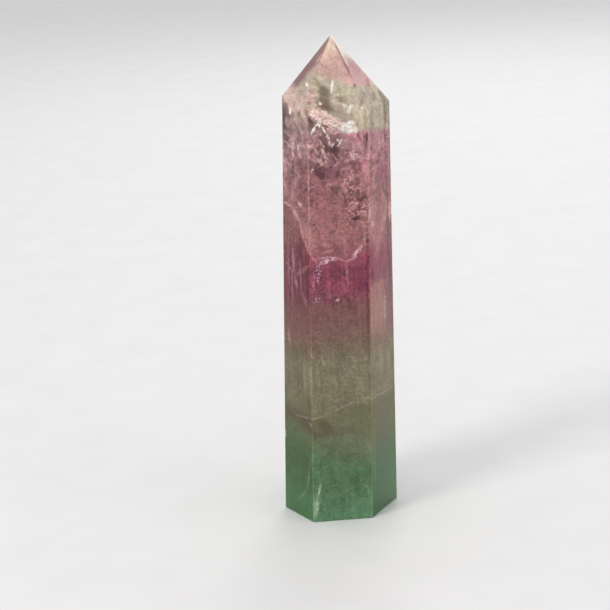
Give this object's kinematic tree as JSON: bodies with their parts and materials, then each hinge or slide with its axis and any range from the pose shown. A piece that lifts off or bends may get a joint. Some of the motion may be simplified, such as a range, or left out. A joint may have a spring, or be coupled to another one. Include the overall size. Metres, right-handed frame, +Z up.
{
  "type": "fluorite tower",
  "caption": "Polished faceted fluorite point that stands on a flat ground base, clear and lilac towards the tip and green at the foot.",
  "frame": {"origin": "on the surface that the stone stands on, at the middle of the stone's overall outline", "axes": "+Z up towards the tip, -Y out of the broad front face, +X to the right seen from the front"},
  "size_m": [0.0316, 0.0254, 0.121],
  "materials": {
    "stone": "polished fluorite, see-through at the tip, cloudy lilac in the middle and milky green at the foot"
  },
  "bodies": {
    "root": {"tower": "stone"}
  },
  "joints": []
}
